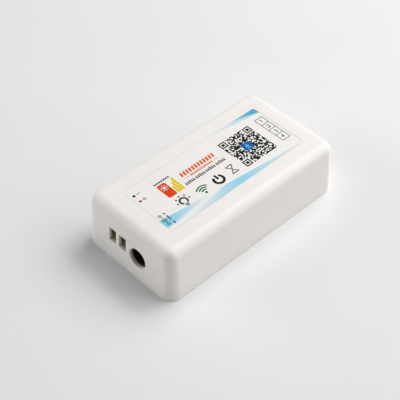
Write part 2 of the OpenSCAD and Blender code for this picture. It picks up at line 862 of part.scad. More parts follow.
// Aluminium can with a rolled groove near its foot
module input_capacitor() {
  radius = can_diameter / 2;
  foot = can_base + 2 * can_groove;
  color("lightgray") hang_at(first_column, can_y) rotate_extrude() polygon([
    [0, can_base], [radius, can_base], [radius, foot],
    [radius - can_groove, foot + can_groove], [radius - can_groove, foot + 2 * can_groove],
    [radius, foot + 3 * can_groove], [radius, can_base + can_height - can_groove],
    [radius - can_groove, can_base + can_height], [0, can_base + can_height],
  ]);
}

// Plastic foot of the capacitor, with two cut corners
module capacitor_base() {
  side = base_side / 2;
  cut = base_side / 5;
  color("black") hang_at(first_column, can_y) linear_extrude(height = can_base) polygon([
    [-side, -side], [side - cut, -side], [side, cut - side],
    [side, side - cut], [side - cut, side], [-side, side],
  ]);
}

// Shielded inductor: a square foot and a round top
module power_inductor() {
  color("dimgray") hang_at(first_column, inductor_y) {
    linear_extrude(height = inductor_height / 2)
      rounded_rect(inductor_side, inductor_side, inductor_side / 6);
    cylinder(h = inductor_height, d = inductor_side - can_groove);
  }
}

// Small flat package with bent leads on two sides
module voltage_regulator() {
  color("black") hang_at(first_column, regulator_y) {
    centred_block(-regulator_width / 2, regulator_width / 2, regulator_length,
      standoff, regulator_height);
    for (turn = [0, 180], i = centred_steps(lead_count))
      rotate([0, 0, turn]) translate([0, i * lead_spacing, 0])
        bent_lead(regulator_width / 2 - lead_thickness, regulator_height / 2,
          lead_reach + lead_thickness, lead_thickness, lead_width);
  }
}

// Block diode behind the wire terminal, with a broad bent lead at each end
module input_diode() {
  color("black") hang_at(diode_x, pitch) {
    centred_block(-diode_width / 2, diode_width / 2, diode_length, standoff, diode_height);
    for (turn = [90, 270]) rotate([0, 0, turn])
      bent_lead(diode_length / 2 - lead_thickness, diode_height / 2,
        lead_reach + lead_thickness, lead_thickness, diode_lead_width);
  }
}

// Chip with a plated cap at each end, a little thicker than its body
module chip_block() {
  half = chip_length / 2;
  centred_block(chip_cap / 2 - half, half - chip_cap / 2, chip_width - 2 * chip_cap_step,
    chip_cap_step, chip_height - chip_cap_step);
  for (turn = [0, 180]) rotate([0, 0, turn])
    centred_block(half - chip_cap, half, chip_width, 0, chip_height);
}

module at_chips(x) {
  for (i = centred_steps(chip_count)) hang_at(x, i * chip_spacing) children();
}

module chip_resistors() {
  color("black") at_chips(chip_column) chip_block();
}

module chip_capacitors() {
  color("tan") at_chips(-chip_column) chip_block();
}

// Small light beside the module
module status_light() {
  color("lightyellow") hang_at(chip_column, (chip_count + 1) / 2 * chip_spacing) {
    chip_block();
    translate([0, 0, chip_height - chip_cap_step])
      cylinder(h = chip_height / 2, d1 = chip_width - 4 * chip_cap_step, d2 = chip_width / 2);
  }
}

// Solder round every leg, on the far side of the board
module solder_joints() {
  color("silver") for (leg = legs)
    translate([leg[0].x, leg[0].y, board_top]) difference() {
      cylinder(h = solder_height, r1 = leg_hole + solder_rim, r2 = leg_hole);
      translate([-leg[1].x / 2, -leg[1].y / 2, -overrun])
        cube([leg[1].x, leg[1].y, solder_height + 2 * overrun]);
    }
}

top_shell();
label_sheet();
base_cover();
circuit_board();
input_terminal_housing();
input_contact_bars();
input_screw(0);  // input_screw_1
input_screw(1);  // input_screw_2
input_clamp(0);  // input_clamp_1
input_clamp(1);  // input_clamp_2
output_terminal_housing();
output_contact_bars();
output_screw(0);  // output_screw_1
output_screw(1);  // output_screw_2
output_screw(2);  // output_screw_3
output_screw(3);  // output_screw_4
output_clamp(0);  // output_clamp_1
output_clamp(1);  // output_clamp_2
output_clamp(2);  // output_clamp_3
output_clamp(3);  // output_clamp_4
dc_jack_housing();
dc_jack_centre_pin();
dc_jack_sleeve_spring();
dc_jack_switch_contact();
wireless_module_board();
wireless_module_shield();
transistor_bodies();
transistor_tabs();
input_capacitor();
capacitor_base();
power_inductor();
voltage_regulator();
input_diode();
chip_resistors();
chip_capacitors();
status_light();
solder_joints();
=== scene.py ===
"""Looks of a small white LED strip controller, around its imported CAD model.

Everything is in metres in the model's own frame: +X runs from the power end to the
strip's end, and +Z goes up through the label. Lengths on the object are written in
millimetres and multiplied by MM. Places on the film are plain millimetres from the
model's middle, and they are multiplied by MM where meshes and masks are made. The
floor, the lamps and the camera's range are written in metres.
"""

import json
import math
import random

import bmesh
import bpy
from mathutils import Matrix, Vector

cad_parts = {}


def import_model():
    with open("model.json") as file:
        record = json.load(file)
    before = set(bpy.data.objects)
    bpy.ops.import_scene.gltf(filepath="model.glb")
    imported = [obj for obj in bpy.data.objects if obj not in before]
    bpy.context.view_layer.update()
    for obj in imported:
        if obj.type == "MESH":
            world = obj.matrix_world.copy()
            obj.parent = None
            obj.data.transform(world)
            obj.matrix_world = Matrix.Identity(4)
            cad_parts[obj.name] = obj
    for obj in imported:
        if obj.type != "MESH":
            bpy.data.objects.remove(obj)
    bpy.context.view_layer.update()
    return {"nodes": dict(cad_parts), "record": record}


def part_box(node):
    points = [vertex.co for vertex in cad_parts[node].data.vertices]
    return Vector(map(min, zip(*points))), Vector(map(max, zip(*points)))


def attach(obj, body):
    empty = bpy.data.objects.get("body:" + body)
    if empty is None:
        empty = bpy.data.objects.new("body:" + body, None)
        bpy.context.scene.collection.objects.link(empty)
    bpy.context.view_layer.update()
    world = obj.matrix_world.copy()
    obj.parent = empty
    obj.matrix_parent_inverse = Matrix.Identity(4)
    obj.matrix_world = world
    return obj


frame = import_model()

MM = 0.001
MICRON = 0.001 * MM
LABEL_LOW, LABEL_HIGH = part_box("label_sheet")
CASE_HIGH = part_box("top_shell")[1]
FILM_TOP = LABEL_HIGH.z

# Thickness of one layer of ink, and how far it starts inside what it lies on
INK = 0.012 * MM
SUNK = 0.004 * MM


def linear(red, green, blue):
    """The linear RGBA that nodes take, from sRGB screen values of 0 to 255."""
    def channel(value):
        value /= 255
        return value / 12.92 if value <= 0.04045 else ((value + 0.055) / 1.055) ** 2.4
    return (channel(red), channel(green), channel(blue), 1)


def scaled(colour, factor):
    """A lighter or darker colour."""
    return tuple(min(1, c * factor) for c in colour[:3]) + (1,)


# Node helpers

# Where most values of a noise lie
NOISE_SPAN = (0.3, 0.7)
# Colour sockets of a Mix node, by number, because their names aren't unique there
MIX_FACTOR, MIX_FIRST, MIX_SECOND, MIX_RESULT = 0, 6, 7, 2


def feed(tree, socket, value):
    """Links a socket to another node's output, or sets it to a plain value."""
    if isinstance(value, bpy.types.NodeSocket):
        tree.links.new(value, socket)
    else:
        socket.default_value = value


def add(tree, kind, **values):
    """A node of this kind with its named inputs fed. An underscore stands for a space."""
    node = tree.nodes.new(kind)
    for name, value in values.items():
        feed(tree, node.inputs[name.replace("_", " ")], value)
    return node


def math_node(tree, operation, *values):
    """The result of a calculation with these values."""
    node = tree.nodes.new("ShaderNodeMath")
    node.operation = operation
    for socket, value in zip(node.inputs, values):
        feed(tree, socket, value)
    return node.outputs[0]


def place(tree):
    """The shaded point, in the model's frame at rest."""
    return tree.nodes.new("ShaderNodeTexCoord").outputs["Object"]


def noise(tree, size, detail=3.0, stretch=(1, 1, 1)):
    """Noise whose grains are about size metres across, drawn out along an axis by stretch."""
    spread = add(tree, "ShaderNodeMapping", Vector=place(tree), Scale=[1 / s for s in stretch])
    grain = add(tree, "ShaderNodeTexNoise", Vector=spread.outputs[0], Scale=1 / size,
        Detail=detail)
    return grain.outputs["Fac"]


def spread_to(tree, value, low, high, source=NOISE_SPAN):
    """Maps a value from the source span onto the span from low to high."""
    node = add(tree, "ShaderNodeMapRange", Value=value, From_Min=source[0], From_Max=source[1],
        To_Min=low, To_Max=high)
    return node.outputs[0]


def mixed(tree, factor, first, second):
    """Colour between first and second."""
    node = tree.nodes.new("ShaderNodeMix")
    node.data_type = "RGBA"
    for number, value in ((MIX_FACTOR, factor), (MIX_FIRST, first), (MIX_SECOND, second)):
        feed(tree, node.inputs[number], value)
    return node.outputs[MIX_RESULT]


def bump(tree, shader, height, depth, strength=1.0):
    """Raises the surface by the height value times depth metres."""
    node = add(tree, "ShaderNodeBump", Height=height, Distance=depth, Strength=strength)
    tree.links.new(node.outputs[0], shader.inputs["Normal"])


def surface(name):
    """A new material, its node tree and its shader."""
    material = bpy.data.materials.new(name)
    material.use_nodes = True
    tree = material.node_tree
    return material, tree, tree.nodes["Principled BSDF"]


# Materials

def moulded(name, colour, roughness, grain, depth, cloud=0.03, scatter=0.0, gloss=0.5):
    """Moulded plastic, epoxy or ceramic: a fine eroded grain, and slow changes of tone."""
    cloud_size, wear = 9 * MM, 0.04
    scatter_share, scatter_depth = (1, 0.75, 0.55), 1.4 * MM
    material, tree, shader = surface(name)
    slow = spread_to(tree, noise(tree, cloud_size, detail=2), 0, 1)
    tree.links.new(mixed(tree, slow, scaled(colour, 1 - cloud), scaled(colour, 1 + cloud)),
        shader.inputs["Base Color"])
    fine = noise(tree, grain)
    tree.links.new(spread_to(tree, fine, roughness - wear, roughness + wear),
        shader.inputs["Roughness"])
    shader.inputs["Specular IOR Level"].default_value = gloss
    shader.inputs["Subsurface Weight"].default_value = scatter
    shader.inputs["Subsurface Radius"].default_value = scatter_share
    shader.inputs["Subsurface Scale"].default_value = scatter_depth
    bump(tree, shader, fine, depth)
    return material


def metal(name, colour, roughness, stretch, depth=4 * MICRON):
    """Stamped, turned or plated metal, with drawn scratches along the stretched axis."""
    stain_size, darker = 2 * MM, 0.92
    scratch_size, smoother, rougher = 0.12 * MM, 0.07, 0.1
    material, tree, shader = surface(name)
    shader.inputs["Metallic"].default_value = 1.0
    slow = spread_to(tree, noise(tree, stain_size), 0, 1)
    tree.links.new(mixed(tree, slow, scaled(colour, darker), colour),
        shader.inputs["Base Color"])
    scratches = noise(tree, scratch_size, detail=4, stretch=stretch)
    tree.links.new(spread_to(tree, scratches, roughness - smoother, roughness + rougher),
        shader.inputs["Roughness"])
    bump(tree, shader, scratches, depth)
    return material


def ink(name, colour):
    """Printed ink: nearly flat colour with a faint mottle and a dull gloss."""
    mottle_size, darker, lighter = 0.25 * MM, 0.94, 1.05
    smoothest, roughest, gloss = 0.39, 0.45, 0.12
    depth, strength = 1 * MICRON, 0.5
    material, tree, shader = surface(name)
    shader.inputs["Specular IOR Level"].default_value = gloss
    mottle = spread_to(tree, noise(tree, mottle_size), 0, 1)
    tree.links.new(mixed(tree, mottle, scaled(colour, darker), scaled(colour, lighter)),
        shader.inputs["Base Color"])
    tree.links.new(spread_to(tree, mottle, smoothest, roughest, (0, 1)),
        shader.inputs["Roughness"])
    bump(tree, shader, mottle, depth, strength)
    return material


def circuit_resist(name, colour, track_size):
    """Solder resist over copper: lighter, slightly raised tracks under a green or blue film."""
    bend, track_edge, darker, lighter = 0.7, (0.36, 0.4), 0.75, 1.35
    wear_size, smoothest, roughest = 1 * MM, 0.22, 0.32
    depth, strength = 30 * MICRON, 0.6
    material, tree, shader = surface(name)
    cells = add(tree, "ShaderNodeTexVoronoi", Vector=place(tree), Scale=1 / track_size,
        Randomness=bend)
    cells.distance = "CHEBYCHEV"
    cells.feature = "F1"
    tracks = spread_to(tree, cells.outputs["Distance"], 0, 1, track_edge)
    tree.links.new(mixed(tree, tracks, scaled(colour, darker), scaled(colour, lighter)),
        shader.inputs["Base Color"])
    tree.links.new(spread_to(tree, noise(tree, wear_size), smoothest, roughest),
        shader.inputs["Roughness"])
    bump(tree, shader, tracks, depth, strength)
    return material


def clear_lens():
    """Clear resin over the status light, with a warm tint."""
    wear_size, smoothest, roughest = 0.4 * MM, 0.12, 0.22
    glow_size, warm, pale = 0.8 * MM, linear(250, 240, 190), linear(255, 250, 225)
    clearness, resin_ior = 0.6, 1.5
    material, tree, shader = surface("light_lens")
    shader.inputs["Transmission Weight"].default_value = clearness
    shader.inputs["IOR"].default_value = resin_ior
    tree.links.new(spread_to(tree, noise(tree, wear_size, detail=2), smoothest, roughest),
        shader.inputs["Roughness"])
    glow = spread_to(tree, noise(tree, glow_size, detail=2), 0, 1)
    tree.links.new(mixed(tree, glow, warm, pale), shader.inputs["Base Color"])
    return material


# Printed film: white, with blue wedges that fade along their length

FILM_WHITE = linear(241, 238, 235)
PALE_WEDGE = linear(128, 205, 228)
DEEP_WEDGE = linear(60, 166, 194)
# How wide an edge's change from white to blue is
CRISP = 0.15
CLEAR = 0.3
SOFT = 1.4
# The long edge that both lower wedges share
LOWER_EDGE = ((31, -12.5), (-32.2, -6.3), CRISP)
# Each wedge: its colour, its edges (start, end, softness), its fades (start, end) and its
# strength. An edge has the blue on its left.
WEDGES = [
    # lower left corner, wide at the power end
    (PALE_WEDGE, [LOWER_EDGE, ((-32.2, -10.6), (-8, -8.9), SOFT)],
        [((-30, -9), (-9, -9))], 1.05),
    # lower edge, widest near the middle, behind a white streak
    (PALE_WEDGE, [LOWER_EDGE, ((-3, -9), (-27, -12.2), SOFT)],
        [((2, -9), (46, -9)), ((2, -12), (-27, -12))], 0.92),
    # upper right corner: a pale wedge under a deep one
    (PALE_WEDGE, [((5.5, 13.5), (33.3, 9.7), CRISP)], [((36, 10), (5, 13))], 0.85),
    (DEEP_WEDGE, [((22, 12.9), (33.3, 10.1), CLEAR)], [((43, 10), (19, 12))], 2.1),
]


def along(tree, point, direction):
    """The dot product of the point and a direction in the film's plane."""
    reach = add(tree, "ShaderNodeVectorMath")
    reach.operation = "DOT_PRODUCT"
    tree.links.new(point, reach.inputs[0])
    reach.inputs[1].default_value = direction.to_3d()
    return reach.outputs["Value"]


def edge_mask(tree, point, start, end, softness):
    """1 to the left of the line from start to end, and 0 to its right."""
    a, b = Vector(start) * MM, Vector(end) * MM
    normal = Vector((a.y - b.y, b.x - a.x)).normalized()
    middle, half = normal.dot(a), softness * MM / 2
    return spread_to(tree, along(tree, point, normal), 0, 1, (middle - half, middle + half))


def fade(tree, point, start, end):
    """Falls from 1 at start to 0 at end, measured along the line between them."""
    a, b = Vector(start) * MM, Vector(end) * MM
    slope = (b - a) / (b - a).length_squared
    low = slope.dot(a)
    return spread_to(tree, along(tree, point, slope), 1, 0, (low, low + 1))


def wedge(tree, point, edges, fades, strength):
    """Product of the strength, the edges' masks and the fades."""
    value = strength
    for start, end, softness in edges:
        value = math_node(tree, "MULTIPLY", edge_mask(tree, point, start, end, softness), value)
    for start, end in fades:
        value = math_node(tree, "MULTIPLY", fade(tree, point, start, end), value)
    return value


def printed_film():
    """White film with the wedges laid over it in turn."""
    mottle_size, darker, lighter = 6 * MM, 0.985, 1.01
    grain_size, smoothest, roughest = 0.3 * MM, 0.34, 0.4
    depth, strength = 1.5 * MICRON, 0.5
    material, tree, shader = surface("printed_film")
    point = place(tree)
    mottle = spread_to(tree, noise(tree, mottle_size), 0, 1)
    colour = mixed(tree, mottle, scaled(FILM_WHITE, darker), scaled(FILM_WHITE, lighter))
    for blue, edges, fades, full in WEDGES:
        cover = math_node(tree, "MINIMUM", wedge(tree, point, edges, fades, full), 1.0)
        colour = mixed(tree, cover, colour, blue)
    tree.links.new(colour, shader.inputs["Base Color"])
    fine = noise(tree, grain_size)
    tree.links.new(spread_to(tree, fine, smoothest, roughest), shader.inputs["Roughness"])
    bump(tree, shader, fine, depth, strength)
    return material


# How scratches are drawn out: not at all, or along one axis
EVEN = (1, 1, 1)
ALONG_X = (20, 1, 1)
ALONG_Z = (1, 1, 20)
# One material for each slot. A moulded one takes its colour, roughness, size of grain and
# depth of grain. A metal takes its colour, roughness, run of scratches and their depth,
# and a board its colour and the size of its tracks.
MATERIALS = {
    "case_plastic": moulded("case_plastic", linear(242, 237, 233), 0.44, 0.22 * MM,
        2.5 * MICRON, cloud=0.008, scatter=0.55),
    "label_film": printed_film(),
    "board": circuit_resist("board", linear(28, 110, 58), 3.2 * MM),
    "terminal_plastic": moulded("terminal_plastic", linear(112, 104, 66), 0.45, 0.3 * MM,
        4 * MICRON),
    "brass": metal("brass", linear(214, 184, 112), 0.32, ALONG_X),
    "socket_plastic": moulded("socket_plastic", linear(15, 11, 9), 0.36, 0.25 * MM,
        3 * MICRON, cloud=0.1, gloss=0.22),
    "plated_metal": metal("plated_metal", linear(214, 213, 208), 0.22, EVEN),
    "clamp_metal": metal("clamp_metal", linear(216, 208, 178), 0.3, ALONG_Z),
    "module_board": circuit_resist("module_board", linear(24, 46, 96), 1.6 * MM),
    "shield_metal": metal("shield_metal", linear(206, 206, 204), 0.34, ALONG_X),
    "black_epoxy": moulded("black_epoxy", linear(36, 36, 38), 0.5, 0.12 * MM,
        4 * MICRON, cloud=0.08),
    "tinned_metal": metal("tinned_metal", linear(204, 204, 202), 0.36, EVEN, 10 * MICRON),
    "can_metal": metal("can_metal", linear(216, 216, 218), 0.28, ALONG_Z),
    "ferrite": moulded("ferrite", linear(74, 74, 78), 0.62, 0.2 * MM, 8 * MICRON, cloud=0.1),
    "chip_ceramic": moulded("chip_ceramic", linear(176, 146, 112), 0.4, 0.1 * MM,
        2 * MICRON, cloud=0.06),
    "light_lens": clear_lens(),
    "solder": metal("solder", linear(200, 200, 204), 0.2, EVEN, 20 * MICRON),
}


def dress_cad_nodes():
    """Gives every CAD node the material of its slot in the record."""
    for part in frame["record"]["subparts"]:
        node = frame["nodes"][part["node"]]
        node.data.materials.clear()
        node.data.materials.append(MATERIALS[part["material_slot"]])


# Rounded rims of the case: the radii, and how far beyond an opening its rim is looked for
RECESS_RIM = 0.18 * MM
WINDOW_RIM = 0.2 * MM
SOCKET_RIM = 0.35 * MM
RIM_SEGMENTS = 3
RIM_REACH = 0.5 * MM
# A point this near to a face lies on it, and two points this near are one
HAIR = 0.01 * MM
SAME_POINT = 0.001 * MM
# The end walls' lean, and the span of height that holds all ports
WALL_LEAN = math.radians(3)
PORT_SPAN = (4 * MM, 17 * MM)
WIRE_STEP = 5.08 * MM
WIRE_HALF_WIDTH = 1.75 * MM
SOCKET_MIDDLE = -5.3 * MM
SOCKET_HALF_WIDTH = 4 * MM
# Ports: the end (-1 for the power end, 1 for the strip's end), the middle along Y, half
# the width, and the radius of the rim
PORTS = [(-1, SOCKET_MIDDLE, SOCKET_HALF_WIDTH, SOCKET_RIM)]
PORTS += [(-1, i * WIRE_STEP, WIRE_HALF_WIDTH, WINDOW_RIM) for i in (0.5, 1.5)]
PORTS += [(1, i * WIRE_STEP, WIRE_HALF_WIDTH, WINDOW_RIM) for i in (-1.5, -0.5, 0.5, 1.5)]


def on_recess_rim(point):
    """Whether a point of the case lies on its top face, round the film."""
    return (CASE_HIGH.z - point.z < HAIR
        and LABEL_LOW.x - RIM_REACH < point.x < LABEL_HIGH.x + RIM_REACH
        and LABEL_LOW.y - RIM_REACH < point.y < LABEL_HIGH.y + RIM_REACH)


def on_port_rim(point, end, middle, half_width):
    """Whether a point of the case lies on the outer face of its end wall, round a port."""
    wall = CASE_HIGH.x - point.z * math.tan(WALL_LEAN)
    return (abs(point.x - end * wall) < HAIR and abs(point.y - middle) < half_width + RIM_REACH
        and PORT_SPAN[0] < point.z < PORT_SPAN[1])


def round_rim(case, name, radius, is_on_rim):
    """Rounds the edges of the case between the points that a test picks out."""
    group = case.vertex_groups.new(name=name)
    group.add([v.index for v in case.data.vertices if is_on_rim(v.co)], 1.0, "REPLACE")
    rim = case.modifiers.new(name, "BEVEL")
    rim.width = radius
    rim.segments = RIM_SEGMENTS
    rim.limit_method = "VGROUP"
    rim.vertex_group = group.name
    rim.loop_slide = False


def round_rims():
    """Rounds the outer edges of the recess and of the ports, as moulding leaves them."""
    case = frame["nodes"]["top_shell"]
    case.modifiers.new("joined_faces", "WELD").merge_threshold = SAME_POINT
    round_rim(case, "recess_rim", RECESS_RIM, on_recess_rim)
    for i, (end, middle, half_width, radius) in enumerate(PORTS):
        round_rim(case, f"port_rim_{i}", radius,
            lambda point: on_port_rim(point, end, middle, half_width))
    case.modifiers.new("even_shading", "WEIGHTED_NORMAL").keep_sharp = True


# Outlines for the printing, in millimetres, with angles in degrees

UP, DOWN = 90, -90


def towards(angle):
    """The direction at this angle from +X in the film's plane."""
    turn = math.radians(angle)
    return Vector((math.cos(turn), math.sin(turn)))


def arc(x, y, radius, start, end, steps=24):
    """Points on an arc from the start angle to the end angle."""
    turns = [math.radians(start + (end - start) * i / steps) for i in range(steps + 1)]
    return [Vector((x + radius * math.cos(t), y + radius * math.sin(t))) for t in turns]


def circle(x, y, radius):
    """Points once round a circle."""
    return arc(x, y, radius, 0, 360)[:-1]


def open_ring(x, y, radius, middle, opening):
    """Points on a ring that is left open by some degrees about its middle angle."""
    return arc(x, y, radius, middle + opening / 2, middle + 360 - opening / 2)


def rounded(low, high, radius, steps=6):
    """Outline of a rectangle with round corners, anticlockwise from its lower left."""
    (x0, y0), (x1, y1) = low, high
    return (arc(x0 + radius, y0 + radius, radius, 180, 270, steps)
        + arc(x1 - radius, y0 + radius, radius, 270, 360, steps)
        + arc(x1 - radius, y1 - radius, radius, 0, 90, steps)
        + arc(x0 + radius, y1 - radius, radius, 90, 180, steps))


class Printing:
    """Flat shapes in one ink, in millimetres, gathered into one thin closed mesh."""

    def __init__(self, name, colour, layer=0):
        self.name, self.colour = name, colour
        self.low = FILM_TOP - SUNK + layer * INK
        self.high = FILM_TOP + (layer + 1) * INK
        self.mesh = bmesh.new()

    def corners(self, points):
        """The points on the ink's underside and on its top."""
        return [[self.mesh.verts.new((x * MM, y * MM, z)) for x, y in points]
            for z in (self.low, self.high)]

    def fill(self, points):
        """A filled outline."""
        under, top = self.corners(points)
        self.mesh.faces.new(top)
        self.mesh.faces.new(under[::-1])
        for i in range(len(points)):
            j = (i + 1) % len(points)
            self.mesh.faces.new((under[i], under[j], top[j], top[i]))

    def rectangle(self, x0, y0, x1, y1):
        """A filled rectangle between two opposite corners."""
        self.fill([(x0, y0), (x1, y0), (x1, y1), (x0, y1)])

    def blocks(self, count, left, step, width, low, high):
        """A row of equal rectangles."""
        for i in range(count):
            x = left + step * i
            self.rectangle(x, low, x + width, high)

    def disc(self, x, y, radius):
        """A filled circle."""
        self.fill(circle(x, y, radius))

    def band(self, left, right, closed):
        """The strip between two lines of points, with its ends closed unless it runs round."""
        (left_low, left_high), (right_low, right_high) = self.corners(left), self.corners(right)
        count = len(left)
        for i in range(count if closed else count - 1):
            j = (i + 1) % count
            self.mesh.faces.new((left_high[i], left_high[j], right_high[j], right_high[i]))
            self.mesh.faces.new((right_low[i], right_low[j], left_low[j], left_low[i]))
            self.mesh.faces.new((left_low[i], left_low[j], left_high[j], left_high[i]))
            self.mesh.faces.new((right_high[i], right_high[j], right_low[j], right_low[i]))
        if not closed:
            for i in (0, count - 1):
                self.mesh.faces.new((left_low[i], left_high[i], right_high[i], right_low[i]))

    def stroke(self, points, width, closed=False):
        """A line of even width through the points, with mitred corners."""
        points = [Vector(p) for p in points]
        count = len(points)
        sides = []
        for i in range(count):
            starts, ends = not closed and i == 0, not closed and i == count - 1
            before = points[1] - points[0] if starts else points[i] - points[i - 1]
            after = before if ends else points[(i + 1) % count] - points[i]
            before, after = before.normalized(), after.normalized()
            across = Vector((-before.y - after.y, before.x + after.x))
            sides.append(across / (1 + before.dot(after)) * width / 2)
        self.band([p + s for p, s in zip(points, sides)],
            [p - s for p, s in zip(points, sides)], closed)

    def level(self, x0, x1, y, width):
        """A line along X."""
        self.stroke([(x0, y), (x1, y)], width)

    def upright(self, x, y0, y1, width):
        """A line along Y."""
        self.stroke([(x, y0), (x, y1)], width)

    def plus(self, x, y, reach, width):
        """A plus sign of three bars that meet without overlapping."""
        self.level(x - reach, x + reach, y, width)
        for side in (-1, 1):
            self.upright(x, y + side * width / 2, y + side * reach, width)

    def rays(self, x, y, angles, start, end, width):
        """Lines that point away from a centre, from one distance to another."""
        centre = Vector((x, y))
        for ray in map(towards, angles):
            self.stroke([centre + ray * start, centre + ray * end], width)

    def build(self):
        """Makes the mesh a piece of its own that rides on the case."""
        bmesh.ops.recalc_face_normals(self.mesh, faces=self.mesh.faces)
        data = bpy.data.meshes.new(self.name)
        self.mesh.to_mesh(data)
        self.mesh.free()
        piece = bpy.data.objects.new(self.name, data)
        bpy.context.scene.collection.objects.link(piece)
        data.materials.append(ink(self.name + "_ink", self.colour))
        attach(piece, "case")


# The printing itself: generic signs in the places and colours of the photograph's label

BLACK = linear(5, 4, 4)
GREY = linear(54, 51, 49)
ORANGE = linear(216, 68, 8)
PALE_ORANGE = linear(222, 102, 34)
YELLOW = linear(234, 204, 18)
GREEN = linear(8, 122, 52)
RED = linear(150, 46, 38)
BLUE = linear(14, 92, 168)
PALE_BLUE = linear(110, 188, 236)
WHITE = linear(246, 240, 232)


def polarity_dots():
    """A black dot and a red one beside the two wire windows, with a minus and a plus."""
    dot_x, sign_x, minus_y, plus_y = -30.45, -28.6, 8.7, 5.3
    dot, reach, line = 0.56, 0.9, 0.24
    black = Printing("print_minus", BLACK)
    black.disc(dot_x, minus_y, dot)
    black.level(sign_x - reach, sign_x + reach, minus_y, line)
    black.build()
    red = Printing("print_plus", RED)
    red.disc(dot_x, plus_y, dot)
    red.build()
    cross = Printing("print_cross", BLACK)
    cross.plus(sign_x, plus_y, reach, line)
    cross.build()


def socket_pictogram():
    """The common sign for a socket whose centre is positive, drawn along the end of the film.

    A ringed plus, a dot in an open ring and a ringed minus stand in a line, and beside
    them is a column of four bars.
    """
    x, plus_y, pin_y, minus_y = -30.5, -4.6, -7, -9.4
    ring, ring_line, reach, thin = 0.55, 0.2, 0.3, 0.16
    pin, sleeve, opening, line, overlap = 0.34, 0.85, 80, 0.24, 0.04
    bar_x, bar_top, bar_step, bar_line = -28.5, -4.2, 1.7, 0.5
    sign = Printing("print_socket_sign", BLACK)
    for y in (plus_y, minus_y):
        sign.stroke(circle(x, y, ring), ring_line, closed=True)
    sign.plus(x, plus_y, reach, thin)
    sign.level(x - reach, x + reach, minus_y, thin)
    sign.upright(x, plus_y - ring, pin_y + pin - overlap, line)
    sign.disc(x, pin_y, pin)
    sign.stroke(open_ring(x, pin_y, sleeve, UP, opening), line)
    sign.upright(x, pin_y - sleeve, minus_y + ring, line)
    for i, length in enumerate((0.9, 1.6, 0.7, 1.3)):
        top = bar_top - bar_step * i
        sign.upright(bar_x, top, top - length, bar_line)
    sign.build()


def level_tile():
    """An upright orange tile with a white sun, beside rising yellow bars, under dark dashes."""
    left, right, low, high, corner = -22, -18.2, -0.6, 6.7, 0.7
    sun_y, sun_radius, ray_line = 4.4, 0.65, 0.32
    bar_left, bar_step, bar_width, bar_high, bar_rise = -17.8, 1.15, 1, 3.1, 1.8
    dashes = Printing("print_dashes", BLACK)
    dashes.blocks(7, left, step=1.04, width=0.78, low=7.4, high=8.1)
    dashes.build()
    tile = Printing("print_tile", ORANGE)
    tile.fill(rounded((left, low), (right, high), corner))
    tile.build()
    sun = Printing("print_sun", WHITE, layer=1)
    sun.disc((left + right) / 2, sun_y, sun_radius)
    sun.rays((left + right) / 2, sun_y, range(0, 360, 45), start=0.95, end=1.5, width=ray_line)
    sun.build()
    bars = Printing("print_bars", YELLOW)
    for i in range(3):
        x = bar_left + bar_step * i
        bars.rectangle(x, low, x + bar_width, bar_high + bar_rise * i)
    bars.build()


def heading():
    """A row of slanted orange blocks, and under it a row of squares between two dashes."""
    left, step, width, lean, low, high = -11.9, 1.38, 0.92, 0.4, 4, 6.1
    dash_y, dash_line = 2.85, 0.18
    orange = Printing("print_heading", PALE_ORANGE)
    for i in range(12):
        x = left + step * i
        orange.fill([(x, low), (x + width, low), (x + width + lean, high), (x + lean, high)])
    orange.blocks(13, left=-8.8, step=0.84, width=0.56, low=2.35, high=3.3)
    for dash_left, dash_right in ((-11.6, -9.6), (2.6, 4.6)):
        orange.level(dash_left, dash_right, dash_y, dash_line)
    orange.build()


def scale_line():
    """A black scale of four groups of five blocks, the middle one of each group taller."""
    groups, in_group = 4, 5
    left, step, gap, width = -13.3, 0.92, 0.35, 0.56
    low, high, taller = -0.1, 1.1, 1.4
    scale = Printing("print_scale", BLACK)
    for i in range(groups * in_group):
        x = left + step * i + gap * (i // in_group)
        scale.rectangle(x, low, x + width, taller if i % in_group == in_group // 2 else high)
    scale.build()


def lamp_sign(black):
    """A round lamp that is open below, with two short lines for its foot and five rays."""
    x, y, radius, opening, line = -19.4, -4.8, 1.45, 70, 0.72
    foot, foot_step, foot_line, ray_line = 1.75, 0.75, 0.5, 0.55
    black.stroke(open_ring(x, y, radius, DOWN, opening), line)
    for i, reach in enumerate((0.8, 0.5)):
        black.level(x - reach, x + reach, y - foot - foot_step * i, foot_line)
    black.rays(x, y, range(0, 181, 45), start=2.3, end=3, width=ray_line)


def power_sign(black):
    """A power key: a ring that is open above, with an upright line in its gap."""
    x, y, radius, opening, line = -3.1, -5.6, 1.95, 70, 1
    key_low, key_high, key_line = 0.2, 2.6, 0.9
    black.stroke(open_ring(x, y, radius, UP, opening), line)
    black.upright(x, y + key_low, y + key_high, key_line)


def hourglass_sign(black):
    """An hourglass: two angles, tip to tip, between two level lines."""
    left, right, low, high = 2.4, 5.6, -7.1, -3.1
    inset, drop, line, tip_gap, end_line = 0.3, 0.2, 0.34, 0.24, 0.4
    x, y = (left + right) / 2, (low + high) / 2
    black.stroke([(left + inset, high - drop), (x, y), (right - inset, high - drop)], line)
    black.stroke([(left + inset, low + drop), (x, y - tip_gap), (right - inset, low + drop)], line)
    for end in (low, high):
        black.level(left, right, end, end_line)


def radio_sign():
    """A green dot with three arcs over it, for radio waves."""
    x, y, dot, line = -10.7, -7.2, 0.55, 0.6
    green = Printing("print_waves", GREEN)
    green.disc(x, y, dot)
    for radius in (1.45, 2.5, 3.55):
        green.stroke(arc(x, y, radius, 45, 135), line)
    green.build()


def function_signs():
    """Four plain signs: a lamp, a power key and an hourglass in black, and green waves."""
    black = Printing("print_signs", BLACK)
    lamp_sign(black)
    power_sign(black)
    hourglass_sign(black)
    black.build()
    radio_sign()


